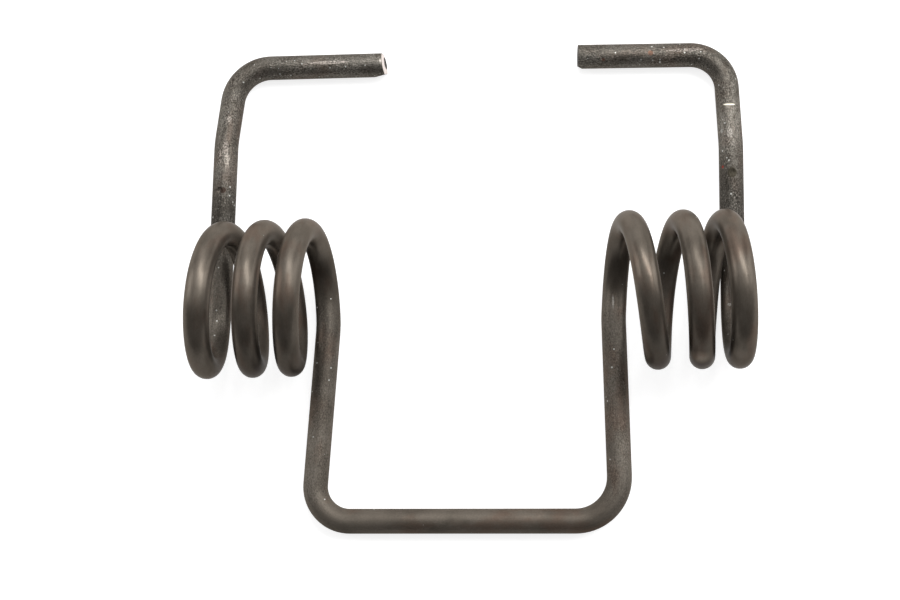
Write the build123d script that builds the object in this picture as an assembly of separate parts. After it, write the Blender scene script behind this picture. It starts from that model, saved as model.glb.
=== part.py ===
from build123d import *

import os
from itertools import accumulate
from math import atan2, cos, degrees, pi, radians, sin, tan
from typing import NamedTuple

# Double torsion spring, bent from one length of round steel wire.
#
# A U-shaped bail joins two open coils. From the outer end of each coil an upper arm with a slight kink
# runs to a shoulder, and ends in a short hook that points at the other hook. The two sides are alike
# but not mirrored, so each has its own sizes.
#
# Lengths are in millimetres and angles in degrees. The origin is on the coil axis, midway between the
# coils. X runs along the coil axis, Y towards the hooks, and Z up from the surface the spring lies on.

# Wire
WIRE_DIAMETER = 6.0

# Coils: the wire's centre starts each coil this far from the middle, and each coil's outer end hangs low
COIL_MEAN_RADIUS = 15.75
COIL_START_X = 35.9
COIL_DROOP = 3.0

# Forming of the coils: short bends that each take nearly all of the run beside them
BENDS_PER_TURN = 12
BEND_SHARE = 0.96

# Gentle bends: the leg's, just below its coil, and the kink in each arm
LEG_LEAD = 4.0
GENTLE_RADIUS = 30.0

# Left side: the coil's advance along its axis in each half turn, and how far each whole turn stands askew,
# with the side towards the hooks outwards and the other side inwards. Then the leg, the arm and the hook.
LEFT_ADVANCES = (3.5, 4.9, 4.9, 5.1, 5.9, 3.4)
LEFT_SKEWS = (-0.1, 0.5, -0.4)
LEFT_LEG_LENGTH = 48.1
LEFT_LEG_LEAN = 4.9
LEFT_BAIL_RADIUS = 8.4
LEFT_ARM_LENGTH = 47.2
LEFT_ARM_LEAN = 1.8
LEFT_SHOULDER_LENGTH = 19.7
LEFT_SHOULDER_LEAN = 8.0
LEFT_HOOK_LENGTH = 37.9
LEFT_HOOK_RISE = -0.2
LEFT_HOOK_RADIUS = 9.8

# Right side, in the same order
RIGHT_ADVANCES = (4.7, 6.7, 4.9, 6.0, 3.9, 2.8)
RIGHT_SKEWS = (-0.3, 0.7, 0.0)
RIGHT_LEG_LENGTH = 48.9
RIGHT_LEG_LEAN = 0.6
RIGHT_BAIL_RADIUS = 10.6
RIGHT_ARM_LENGTH = 43.0
RIGHT_ARM_LEAN = -1.5
RIGHT_SHOULDER_LENGTH = 23.6
RIGHT_SHOULDER_LEAN = 1.7
RIGHT_HOOK_LENGTH = 36.5
RIGHT_HOOK_RISE = 0.9
RIGHT_HOOK_RADIUS = 9.0

# Cut ends: the left one is slanted, and the shear drew the lower edge of each down to a small flat
LEFT_CUT_SLANT = 10.0
LEFT_CUT_TILT = 4.0
LEFT_FLAT_LENGTH = 2.2
LEFT_FLAT_DEPTH = 0.7
RIGHT_FLAT_LENGTH = 0.9
RIGHT_FLAT_DEPTH = 0.45

# A round dent in the top of each arm: how far it is from the coil axis, and how far round the wire
DENT_DIAMETER = 1.5
DENT_DEPTH = 0.35
LEFT_DENT_REACH = 30.2
LEFT_DENT_TURN = 6.6
RIGHT_DENT_REACH = 31.2
RIGHT_DENT_TURN = 1.9


class Side(NamedTuple):
    """Sizes of one side of the spring. Its points are worked out with plus X outwards, then placed."""

    outward: int
    advances: tuple
    skews: tuple
    leg_length: float
    leg_lean: float
    bail_radius: float
    arm_length: float
    arm_lean: float
    shoulder_length: float
    shoulder_lean: float
    hook_length: float
    hook_rise: float
    hook_radius: float

    def placed(self, point):
        """The point on this side's own half of the spring."""
        return Vector(self.outward * point.X, point.Y, point.Z)


LEFT = Side(
    outward=-1,
    advances=LEFT_ADVANCES,
    skews=LEFT_SKEWS,
    leg_length=LEFT_LEG_LENGTH,
    leg_lean=LEFT_LEG_LEAN,
    bail_radius=LEFT_BAIL_RADIUS,
    arm_length=LEFT_ARM_LENGTH,
    arm_lean=LEFT_ARM_LEAN,
    shoulder_length=LEFT_SHOULDER_LENGTH,
    shoulder_lean=LEFT_SHOULDER_LEAN,
    hook_length=LEFT_HOOK_LENGTH,
    hook_rise=LEFT_HOOK_RISE,
    hook_radius=LEFT_HOOK_RADIUS,
)
RIGHT = Side(
    outward=1,
    advances=RIGHT_ADVANCES,
    skews=RIGHT_SKEWS,
    leg_length=RIGHT_LEG_LENGTH,
    leg_lean=RIGHT_LEG_LEAN,
    bail_radius=RIGHT_BAIL_RADIUS,
    arm_length=RIGHT_ARM_LENGTH,
    arm_lean=RIGHT_ARM_LEAN,
    shoulder_length=RIGHT_SHOULDER_LENGTH,
    shoulder_lean=RIGHT_SHOULDER_LEAN,
    hook_length=RIGHT_HOOK_LENGTH,
    hook_rise=RIGHT_HOOK_RISE,
    hook_radius=RIGHT_HOOK_RADIUS,
)


def advance(side, half_turns):
    """Distance along the coil's axis: a smooth curve through the half-turn advances, plus the skew."""
    reached = [0.0, *accumulate(side.advances)]
    between = [(a + b) / 2 for a, b in zip(side.advances, side.advances[1:])]
    rates = [side.advances[0], *between, side.advances[-1]]
    step = min(int(half_turns), len(side.advances) - 1)
    t = half_turns - step
    from_places = reached[step] * (1 + 2 * t) * (1 - t) ** 2 + reached[step + 1] * (3 - 2 * t) * t**2
    from_rates = rates[step] * t * (1 - t) ** 2 - rates[step + 1] * (1 - t) * t**2
    from_skew = side.skews[step // 2] * sin(pi * half_turns)
    return from_places + from_rates + from_skew


def drooped(side, along, y, z):
    """Point of a level coil, measured from its inner end, after the coil droops about its own middle."""
    middle = sum(side.advances) / 2
    tilted = Vector(along - middle, y, z).rotate(Axis.Y, COIL_DROOP)
    return tilted + Vector(COIL_START_X + middle, 0, 0)


def coil_corners(side):
    """Corners of the short bends that form the coil, from its inner end to its outer end."""
    corner_radius = COIL_MEAN_RADIUS / cos(pi / BENDS_PER_TURN)
    corners = []
    for bend in range(BENDS_PER_TURN * len(side.advances) // 2):
        turn = 2 * pi * (bend + 0.5) / BENDS_PER_TURN
        along = advance(side, turn / pi)
        corners.append(drooped(side, along, corner_radius * sin(turn), -corner_radius * cos(turn)))
    return corners


def leg_lead(side):
    """Point where the leg bends away from the straight run into the coil's inner end."""
    rate = side.advances[0] / pi + side.skews[0]
    return drooped(side, -rate * LEG_LEAD / COIL_MEAN_RADIUS, -LEG_LEAD, -COIL_MEAN_RADIUS)


def lying_level():
    """Height of the wire's centre where it lies on the surface, as low as the lower coil's outer end."""
    return min(drooped(side, sum(side.advances), 0, -COIL_MEAN_RADIUS).Z for side in (LEFT, RIGHT))


def stride(start, length, heading):
    """Point at a length from a start, at the level the wire lies at. The heading turns outwards from Y."""
    angle = radians(heading)
    return Vector(start.X + length * sin(angle), start.Y + length * cos(angle), lying_level())


def side_corners(side):
    """Corners of one side's path, from the hook's tip to the bail corner, with plus X outwards."""
    coil = coil_corners(side)
    kink = stride(coil[-1], side.arm_length, -side.arm_lean)
    shoulder = stride(kink, side.shoulder_length, -side.shoulder_lean)
    tip = stride(shoulder, side.hook_length, side.hook_rise - 90)
    bail_corner = stride(leg_lead(side), side.leg_length, 180 - side.leg_lean)
    return [tip, shoulder, kink, *reversed(coil), leg_lead(side), bail_corner]


def widest_bend(before, corner, after):
    """Radius of the bend that takes nearly half of the shorter run beside a corner."""
    arriving = corner - before
    leaving = after - corner
    half_run = min(arriving.length, leaving.length) / 2 * BEND_SHARE
    return half_run / tan(radians(arriving.get_angle(leaving)) / 2)


def side_radii(side, corners):
    """Bend radius at each corner of one side's path, from the shoulder to the bail corner."""
    coil = range(corners.index(coil_corners(side)[-1]), len(corners) - 2)
    coil_radii = [widest_bend(corners[i - 1], corners[i], corners[i + 1]) for i in coil]
    return [side.hook_radius, GENTLE_RADIUS, *coil_radii, GENTLE_RADIUS, side.bail_radius]


def wire_path():
    """Centreline of the wire as straight runs and tangent arcs, with a cutting allowance past each tip."""
    left = side_corners(LEFT)
    right = side_corners(RIGHT)
    radii = side_radii(LEFT, left) + side_radii(RIGHT, right)[::-1]
    corners = [LEFT.placed(p) for p in left] + [RIGHT.placed(p) for p in reversed(right)]
    corners[0] += (corners[0] - corners[1]).normalized() * WIRE_DIAMETER
    corners[-1] += (corners[-1] - corners[-2]).normalized() * WIRE_DIAMETER
    return FilletPolyline(*corners, radius=radii)


def end_plane(side):
    """Plane square to a hook at its tip, with its x towards plus Y and its z out of the wire's end."""
    tip, shoulder = [side.placed(p) for p in side_corners(side)[:2]]
    return Plane(origin=tip, x_dir=(0, 1, 0), z_dir=tip - shoulder)


def past_cut(side, slant, tilt):
    """All that is past the cut at a tip, with the cut leant towards minus Y and tilted up from below."""
    reach = 3 * WIRE_DIAMETER
    block = Box(reach, reach, reach, align=(Align.CENTER, Align.CENTER, Align.MIN))
    return end_plane(side).rotated((-tilt, slant, 0)) * block


def below_flat(side, length, depth):
    """What the flat takes off the lower edge of a wire end: nothing at its length, most at the cut."""
    reach = 3 * WIRE_DIAMETER
    block = Box(reach, reach, reach, align=(Align.MAX, Align.CENTER, Align.CENTER))
    pitch = degrees(atan2(depth, length))
    return end_plane(side) * Pos(-WIRE_DIAMETER / 2, 0, -length) * Rot(0, pitch, 0) * block


def dent(side, reach, turn):
    """Ball that presses a round dent into an arm, at a reach along Y and a turn outwards from the top."""
    kink, coil_end = side_corners(side)[2:4]
    share = (reach - coil_end.Y) / (kink.Y - coil_end.Y)
    out = Vector(sin(radians(turn)), 0, cos(radians(turn)))
    ball_radius = (DENT_DIAMETER**2 / 4 + DENT_DEPTH**2) / (2 * DENT_DEPTH)
    centre = coil_end + (kink - coil_end) * share + out * (WIRE_DIAMETER / 2 - DENT_DEPTH + ball_radius)
    return Pos(side.placed(centre)) * Sphere(ball_radius)


path = wire_path()
section = Plane(origin=path @ 0, z_dir=path % 0) * Circle(WIRE_DIAMETER / 2)
spring = sweep(section, path=path)

spring -= past_cut(LEFT, LEFT_CUT_SLANT, LEFT_CUT_TILT)
spring -= past_cut(RIGHT, 0, 0)
spring -= below_flat(LEFT, LEFT_FLAT_LENGTH, LEFT_FLAT_DEPTH)
spring -= below_flat(RIGHT, RIGHT_FLAT_LENGTH, RIGHT_FLAT_DEPTH)
spring -= dent(LEFT, LEFT_DENT_REACH, LEFT_DENT_TURN)
spring -= dent(RIGHT, RIGHT_DENT_REACH, RIGHT_DENT_TURN)

os.makedirs("parts", exist_ok=True)
export_step(spring, "parts/spring_wire.step")
print("volume", spring.volume, "section times length", pi * WIRE_DIAMETER**2 / 4 * path.length)
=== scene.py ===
"""Looks of a chain adjuster spring: a double torsion spring bent from one length of round steel wire.

The wire is laid along the same straight runs and bends as the solid that it stands for: a hook, a shoulder
and an upper arm on each side, two open coils, and the U-shaped bail between them. Sizes are in millimetres
and become metres where points are made. The origin is on the coil axis, midway between the coils. X runs
along the coil axis, Y towards the hooks, and Z up from the surface that the spring lies on.
"""

import logging
from dataclasses import asdict, dataclass
from enum import Enum
from itertools import accumulate
from math import acos, atan2, ceil, cos, degrees, pi, radians, sin, sqrt, tan

import bmesh
import bpy
from mathutils import Euler, Matrix, Quaternion, Vector


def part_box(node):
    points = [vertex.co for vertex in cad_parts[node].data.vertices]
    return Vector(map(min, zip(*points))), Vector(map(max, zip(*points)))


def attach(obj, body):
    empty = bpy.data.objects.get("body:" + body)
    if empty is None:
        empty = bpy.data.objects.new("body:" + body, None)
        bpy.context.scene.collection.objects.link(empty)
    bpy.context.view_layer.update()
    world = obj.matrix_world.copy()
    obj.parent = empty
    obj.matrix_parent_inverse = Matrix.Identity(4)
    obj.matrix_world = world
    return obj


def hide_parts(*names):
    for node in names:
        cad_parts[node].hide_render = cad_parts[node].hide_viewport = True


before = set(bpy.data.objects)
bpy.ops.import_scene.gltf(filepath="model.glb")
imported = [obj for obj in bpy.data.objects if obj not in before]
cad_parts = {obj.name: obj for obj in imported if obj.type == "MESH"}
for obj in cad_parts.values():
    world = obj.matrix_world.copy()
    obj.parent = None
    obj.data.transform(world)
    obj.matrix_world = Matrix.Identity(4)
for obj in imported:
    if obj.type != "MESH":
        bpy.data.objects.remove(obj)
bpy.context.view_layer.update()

log = logging.getLogger("spring")

MM = 0.001
JOIN_GAP = 1e-7
CUT_GAP = 1e-8
CAD_NODE = "spring_wire"
BODY = "root"
SHOULDER_FOOT, ARM_FOOT = 2, 3
SKIN, LEFT_END, RIGHT_END = range(3)
LEFT_CORE_SHIFT = (-0.3, 0.9, -1.3)
VECTOR = "NodeSocketVector"
FLOAT = "NodeSocketFloat"
WHITE = (1.0, 1.0, 1.0)

Pair = tuple[float, float]
Point = tuple[float, float, float]
Colour = tuple[float, float, float]
Geometry = list[bmesh.types.BMFace | bmesh.types.BMEdge | bmesh.types.BMVert]
Mesh = bmesh.types.BMesh
Material = bpy.types.Material
Node = bpy.types.Node
Socket = bpy.types.NodeSocket
Outputs = bpy.types.NodeOutputs


class Hand(Enum):
    """The two sides of the spring. The value is the way outwards along X."""

    LEFT = -1
    RIGHT = 1


class Layer(Enum):
    """Names of the surface values that the wire's mesh carries for its finish."""

    UNBENT = "unbent"
    SCALE = "scale"


def put_in_scene(name: str, data: bpy.types.ID) -> bpy.types.Object:
    """Makes an object of some data and puts it in the scene, at the origin.

    Args:
        name: The object's name.
        data: Its mesh, lamp or camera.

    Returns:
        The new object.
    """
    new = bpy.data.objects.new(name, data)
    bpy.context.scene.collection.objects.link(new)
    return new


# Route of the wire


@dataclass(frozen=True)
class WireSizes:
    """Sizes that both sides of the spring share, in millimetres and degrees."""

    diameter: float = 6.0
    coil_mean_radius: float = 15.75
    coil_start: float = 35.9
    coil_droop: float = 3.0
    bends_per_turn: int = 12
    bend_share: float = 0.96
    leg_lead: float = 4.0
    gentle_radius: float = 30.0
    cutting_allowance: float = 6.0

    @property
    def radius(self) -> float:
        """Radius of the wire."""
        return self.diameter / 2


@dataclass(frozen=True)
class SideSizes:
    """Sizes of one side of the spring, in millimetres and degrees."""

    hand: Hand
    advances: tuple[float, ...]
    skews: tuple[float, ...]
    leg_length: float
    leg_lean: float
    bail_radius: float
    arm_length: float
    arm_lean: float
    shoulder_length: float
    shoulder_lean: float
    hook_length: float
    hook_rise: float
    hook_radius: float


@dataclass(frozen=True)
class Stretch:
    """One straight run of the wire, or one bend where there is a turn to make.

    Attributes:
        start: Where the stretch begins, in metres.
        heading: Unit direction of the wire there.
        length: Length along the wire's centre, in metres.
        centre: Centre of the bend, or the start of a straight run.
        axis: Unit axis of the bend, which turns the heading the right-handed way.
        turn: Angle of the bend in radians, or zero for a straight run.
    """

    start: Vector
    heading: Vector
    length: float
    centre: Vector
    axis: Vector
    turn: float

    @property
    def is_bend(self) -> bool:
        """Whether the stretch turns."""
        return self.turn > 0

    def rotation(self, share: float = 1.0) -> Quaternion:
        """Turn made after a share of the stretch."""
        return Quaternion(self.axis, self.turn * share)

    def share_of(self, point: Vector) -> float:
        """Finds how far along the stretch a point on the skin lies.

        Args:
            point: A point on the wire's skin, in metres.

        Returns:
            The share of the stretch at which the wire passes the point.
        """
        if not self.is_bend:
            return (point - self.start).dot(self.heading) / self.length
        out = (self.start - self.centre).normalized()
        arm = point - self.centre
        return atan2(arm.dot(self.heading), arm.dot(out)) / self.turn

    def centre_at(self, share: float) -> Vector:
        """Finds a point on the wire's centre.

        Args:
            share: Share of the stretch that lies before the point.

        Returns:
            The point in metres.
        """
        if not self.is_bend:
            return self.start + self.heading * (self.length * share)
        return self.centre + self.rotation(share) @ (self.start - self.centre)


@dataclass
class WireRoute:
    """Centreline of the wire from the left tip to the right tip, as straight runs and tangent bends."""

    wire: WireSizes
    left: SideSizes
    right: SideSizes

    def advance(self, side: SideSizes, half_turns: float) -> float:
        """Measures along the coil's axis: a smooth curve through the half-turn advances, plus the skew.

        Args:
            side: The side that the coil is on.
            half_turns: How far round the coil, in half turns from its inner end.

        Returns:
            The distance in millimetres from the coil's inner end.
        """
        reached = [0.0, *accumulate(side.advances)]
        between = [(a + b) / 2 for a, b in zip(side.advances, side.advances[1:])]
        rates = [side.advances[0], *between, side.advances[-1]]
        step = min(int(half_turns), len(side.advances) - 1)
        t = half_turns - step
        from_places = reached[step] * (1 + 2 * t) * (1 - t) ** 2 + reached[step + 1] * (3 - 2 * t) * t**2
        from_rates = rates[step] * t * (1 - t) ** 2 - rates[step + 1] * (1 - t) * t**2
        return from_places + from_rates + side.skews[step // 2] * sin(pi * half_turns)

    def drooped(self, side: SideSizes, along: float, y: float, z: float) -> Vector:
        """Turns a point of a level coil as the coil droops about its own middle.

        Args:
            side: The side that the coil is on.
            along: Distance from the coil's inner end, in millimetres.
            y: Place across the coil's axis, in millimetres.
            z: Height above the coil's axis, in millimetres.

        Returns:
            The point in millimetres, with plus X outwards.
        """
        middle = sum(side.advances) / 2
        tilt = Quaternion((0, 1, 0), radians(self.wire.coil_droop))
        return tilt @ Vector((along - middle, y, z)) + Vector((self.wire.coil_start + middle, 0, 0))

    def coil_corners(self, side: SideSizes) -> list[Vector]:
        """Places the corners of the short bends that form a coil.

        Args:
            side: The side that the coil is on.

        Returns:
            The corners in millimetres from the coil's inner end to its outer end, with plus X outwards.
        """
        wire = self.wire
        corner_radius = wire.coil_mean_radius / cos(pi / wire.bends_per_turn)
        corners = []
        for bend in range(wire.bends_per_turn * len(side.advances) // 2):
            turn = 2 * pi * (bend + 0.5) / wire.bends_per_turn
            along = self.advance(side, turn / pi)
            corners.append(self.drooped(side, along, corner_radius * sin(turn), -corner_radius * cos(turn)))
        return corners

    def lying_level(self) -> float:
        """Height in millimetres of the wire's centre where it lies on the surface."""
        low = -self.wire.coil_mean_radius
        return min(self.drooped(side, sum(side.advances), 0, low).z for side in (self.left, self.right))

    def stride(self, start: Vector, length: float, heading: float) -> Vector:
        """A point at a length and a heading outwards from Y, at the level that the wire lies at."""
        angle = radians(heading)
        return Vector((start.x + length * sin(angle), start.y + length * cos(angle), self.lying_level()))

    def side_corners(self, side: SideSizes) -> list[Vector]:
        """Places the corners of one side's path.

        Args:
            side: The side's sizes.

        Returns:
            The corners in millimetres from the tip to the bail corner, with plus X outwards.
        """
        wire = self.wire
        coil = self.coil_corners(side)
        kink = self.stride(coil[-1], side.arm_length, -side.arm_lean)
        shoulder = self.stride(kink, side.shoulder_length, -side.shoulder_lean)
        tip = self.stride(shoulder, side.hook_length, side.hook_rise - 90)
        rate = side.advances[0] / pi + side.skews[0]
        lead_along = -rate * wire.leg_lead / wire.coil_mean_radius
        lead = self.drooped(side, lead_along, -wire.leg_lead, -wire.coil_mean_radius)
        bail_corner = self.stride(lead, side.leg_length, 180 - side.leg_lean)
        return [tip, shoulder, kink, *reversed(coil), lead, bail_corner]

    def side_radii(self, side: SideSizes, corners: list[Vector]) -> list[float]:
        """Gives each corner of one side its bend radius.

        Args:
            side: The side's sizes.
            corners: The corners of the side's path, in millimetres.

        Returns:
            The radii in millimetres from the shoulder to the bail corner.
        """
        radii = [side.hook_radius, self.wire.gentle_radius]
        for i in range(3, len(corners) - 2):
            arriving = corners[i] - corners[i - 1]
            leaving = corners[i + 1] - corners[i]
            half_run = min(arriving.length, leaving.length) / 2 * self.wire.bend_share
            radii.append(half_run / tan(arriving.angle(leaving) / 2))
        return [*radii, self.wire.gentle_radius, side.bail_radius]

    def placed(self, side: SideSizes, point: Vector) -> Vector:
        """A point of one side on its own half of the spring, in metres."""
        return Vector((side.hand.value * point.x, point.y, point.z)) * MM

    def corners(self, side: SideSizes) -> list[Vector]:
        """Corners of one side on its own half of the spring, in metres, from the tip to the bail corner."""
        return [self.placed(side, point) for point in self.side_corners(side)]

    def stretches(self) -> list[Stretch]:
        """Joins the corners of both sides by straight runs and tangent bends.

        Returns:
            The whole wire's stretches, with a cutting allowance past each tip.
        """
        left = self.side_corners(self.left)
        right = self.side_corners(self.right)
        radii = self.side_radii(self.left, left) + self.side_radii(self.right, right)[::-1]
        corners = self.corners(self.left) + self.corners(self.right)[::-1]
        allowance = self.wire.cutting_allowance * MM
        corners[0] += (corners[0] - corners[1]).normalized() * allowance
        corners[-1] += (corners[-1] - corners[-2]).normalized() * allowance
        stretches = []
        start = corners[0]
        for before, corner, after, radius in zip(corners, corners[1:], corners[2:], radii):
            arriving = (corner - before).normalized()
            leaving = (after - corner).normalized()
            turn = acos(max(-1.0, min(1.0, arriving.dot(leaving))))
            radius *= MM
            set_back = radius * tan(turn / 2)
            bend_start = corner - arriving * set_back
            stretches.append(self._run(start, bend_start))
            inwards = (leaving - arriving * arriving.dot(leaving)).normalized()
            axis = arriving.cross(leaving).normalized()
            stretches.append(
                Stretch(bend_start, arriving, radius * turn, bend_start + inwards * radius, axis, turn)
            )
            start = corner + leaving * set_back
        stretches.append(self._run(start, corners[-1]))
        return stretches

    def coil_spans(self, stretches: list[Stretch]) -> tuple[tuple[float, float], tuple[float, float]]:
        """Finds where each coil begins and ends along the wire.

        Args:
            stretches: The whole wire's stretches.

        Returns:
            The left and then the right coil's first and last distance from the wire's start, in metres.
        """
        reached = [0.0, *accumulate(stretch.length for stretch in stretches)]
        bends_before_coil = 2
        first = 2 * bends_before_coil + 1
        last = first + 2 * len(self.coil_corners(self.left)) - 1
        return (reached[first], reached[last]), (reached[-1 - last], reached[-1 - first])

    @staticmethod
    def _run(start: Vector, end: Vector) -> Stretch:
        """A straight run between two points."""
        heading = (end - start).normalized()
        return Stretch(start, heading, (end - start).length, start, heading, 0.0)


# The wire's mesh


@dataclass(frozen=True)
class CutSizes:
    """How one end of the wire was cut, in millimetres and degrees.

    Attributes:
        slant: Lean of the cut that leaves the side towards the bail longer.
        tilt: Lean of the cut that leaves the underside longer.
        setback: How far short of the tip the middle of the cut lies.
        flat_length: Length of the small flat on the side towards the bail.
        flat_depth: Depth of that flat at the cut.
        flat_turn: How far the flat is turned down from that side.
    """

    slant: float
    tilt: float
    setback: float
    flat_length: float
    flat_depth: float
    flat_turn: float = 18.0


@dataclass(frozen=True)
class DentSizes:
    """A round dent in the top of an arm, in millimetres and degrees.

    Attributes:
        reach: Distance from the coil axis along Y.
        turn: How far round the wire from its top, outwards.
        diameter: Width of the dent at the skin.
        depth: Depth of the dent.
    """

    reach: float
    turn: float
    diameter: float = 1.5
    depth: float = 0.35

    @property
    def ball_radius(self) -> float:
        """Radius of the ball that presses the dent."""
        return (self.diameter**2 / 4 + self.depth**2) / (2 * self.depth)


@dataclass(frozen=True)
class NickSizes:
    """A shallow nick across the right shoulder, in millimetres and degrees."""

    reach: float = 48.6
    turn: float = 4.8
    length: float = 2.5
    width: float = 0.4
    depth: float = 0.07


@dataclass
class SpringWire:
    """The whole wire as one closed mesh, with its cut ends, dents and nick."""

    route: WireRoute
    left_cut: CutSizes = CutSizes(slant=6.5, tilt=8.0, setback=0.5, flat_length=2.6, flat_depth=0.65)
    right_cut: CutSizes = CutSizes(slant=0.0, tilt=2.5, setback=0.0, flat_length=1.0, flat_depth=0.55)
    left_dent: DentSizes = DentSizes(reach=30.2, turn=13.8, diameter=1.9)
    right_dent: DentSizes = DentSizes(reach=31.2, turn=1.9, diameter=2.2, depth=0.22)
    nick: NickSizes = NickSizes()
    sides_around: int = 96
    run_spacing: float = 4.0
    bend_step: float = 5.0
    rim_round: float = 0.14
    rim_steps: int = 2
    rim_reach: float = 10.0
    dent_rows: int = 7
    dent_patch: float = 0.6
    nick_rows: int = 4
    leg_scale: float = 0.38
    bar_scale: float = 0.05
    scale_fade: float = 8.0
    scale_stop: float = 12.0
    scale_reach: float = 24.0
    name: str = "bent_wire"

    def build(self, finishes: list[Material]) -> bpy.types.Object:
        """Builds the wire and dresses it.

        Args:
            finishes: The skin's material, then the left and the right cut end's.

        Returns:
            The wire's object, with its place in its mesh.
        """
        bm = bmesh.new()
        self._lay(bm)
        self._cut_end(bm, self.route.left, self.left_cut, LEFT_END)
        self._cut_end(bm, self.route.right, self.right_cut, RIGHT_END)
        self._press_dent(bm, self.route.left, self.left_dent)
        self._press_dent(bm, self.route.right, self.right_dent)
        self._press_nick(bm, self.route.right, self.nick)
        self._mark_scale(bm)
        bmesh.ops.remove_doubles(bm, verts=bm.verts, dist=JOIN_GAP)
        bmesh.ops.recalc_face_normals(bm, faces=bm.faces)
        mesh = bpy.data.meshes.new(self.name)
        bm.to_mesh(mesh)
        bm.free()
        for finish in finishes:
            mesh.materials.append(finish)
        piece = put_in_scene(self.name, mesh)
        log.info("%s: %d vertices, %d faces", self.name, len(mesh.vertices), len(mesh.polygons))
        return piece

    def _lay(self, bm: Mesh) -> None:
        """Lays the wire's skin along the route and notes each point's place on the straight wire.

        Args:
            bm: The mesh that the skin is laid in.
        """
        stretches = self.route.stretches()
        across = stretches[0].heading.orthogonal().normalized()
        reached = 0.0
        carrier = bpy.data.meshes.new("stretch")
        for stretch in stretches:
            part = self._stretch_skin(stretch, across, reached)
            part.to_mesh(carrier)
            part.free()
            bm.from_mesh(carrier)
            across = stretch.rotation() @ across
            reached += stretch.length
        bpy.data.meshes.remove(carrier)
        bmesh.ops.remove_doubles(bm, verts=bm.verts, dist=JOIN_GAP)
        for face in bm.faces:
            face.smooth = True
        log.info("wire laid: %d stretches, %.1f mm long", len(stretches), reached / MM)

    def _stretch_skin(self, stretch: Stretch, across: Vector, reached: float) -> Mesh:
        """Forms the skin of one stretch from a ring at its start.

        Args:
            stretch: The run or the bend to follow.
            across: Unit direction across the wire at the stretch's start, carried along without twist.
            reached: Length of wire before the stretch, in metres.

        Returns:
            A new mesh that holds the skin alone.
        """
        part = bmesh.new()
        unbent = part.verts.layers.float_vector.new(Layer.UNBENT.value)
        beside = stretch.heading.cross(across)
        place = Matrix((across, beside, stretch.heading)).transposed().to_4x4()
        place.translation = stretch.start
        radius = self.route.wire.radius * MM
        bmesh.ops.create_circle(part, segments=self.sides_around, radius=radius, matrix=place)
        ring = part.edges[:]
        if stretch.is_bend:
            bmesh.ops.spin(
                part,
                geom=ring,
                cent=stretch.centre,
                axis=stretch.axis,
                angle=stretch.turn,
                steps=max(1, ceil(degrees(stretch.turn) / self.bend_step)),
                use_merge=False,
                use_duplicate=False,
            )
        else:
            steps = max(1, ceil(stretch.length / (self.run_spacing * MM)))
            for _ in range(steps):
                grown = bmesh.ops.extrude_edge_only(part, edges=ring)["geom"]
                ring = [item for item in grown if isinstance(item, bmesh.types.BMEdge)]
                verts = [item for item in grown if isinstance(item, bmesh.types.BMVert)]
                bmesh.ops.translate(part, verts=verts, vec=stretch.heading * (stretch.length / steps))
        for vert in part.verts:
            share = stretch.share_of(vert.co)
            back = stretch.rotation(share).inverted() @ (vert.co - stretch.centre_at(share))
            vert[unbent] = (reached + stretch.length * share, back.dot(across), back.dot(beside))
        return part

    def _patch(self, bm: Mesh, place: Vector, reach: float) -> Geometry:
        """Gathers the part of the wire within a reach of a place.

        Args:
            bm: The wire's mesh.
            place: Middle of the patch, in metres.
            reach: How far the patch reaches, in metres.

        Returns:
            Its faces, edges and points.
        """
        faces = {face for vert in bm.verts if (vert.co - place).length < reach for face in vert.link_faces}
        edges = {edge for face in faces for edge in face.edges}
        verts = {vert for face in faces for vert in face.verts}
        return [*faces, *edges, *verts]

    def _slice(
        self, bm: Mesh, patch: Geometry, place: Vector, normal: Vector, clear: bool = False
    ) -> Geometry:
        """Cuts a patch of the wire with a plane, and clears what is past it if asked to."""
        return bmesh.ops.bisect_plane(
            bm, geom=patch, dist=CUT_GAP, plane_co=place, plane_no=normal, clear_outer=clear
        )["geom"]

    def _rows(self, bm: Mesh, middle: Vector, along: Vector, reach: float, rows: int) -> None:
        """Adds rows of edges across the wire, close enough together to hold a small mark.

        Args:
            bm: The wire's mesh.
            middle: Point on the wire's centre at the middle row.
            along: Unit direction of the wire there.
            reach: Distance of the last row from the middle one, in millimetres.
            rows: How many rows there are on each side of the middle one.
        """
        patch = self._patch(bm, middle, 2 * self.route.wire.diameter * MM)
        for row in range(-rows, rows + 1):
            patch = self._slice(bm, patch, middle + along * (reach * MM * row / rows), along)

    def _cap(self, bm: Mesh, material: int) -> None:
        """Closes the tagged loop of a cut with a flat face.

        Args:
            bm: The wire's mesh.
            material: Index of the face's material.
        """
        loop = [edge for edge in bm.edges if edge.is_boundary and edge.tag]
        face = bmesh.ops.contextual_create(bm, geom=loop)["faces"][0]
        face.material_index = material
        face.smooth = False

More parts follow.
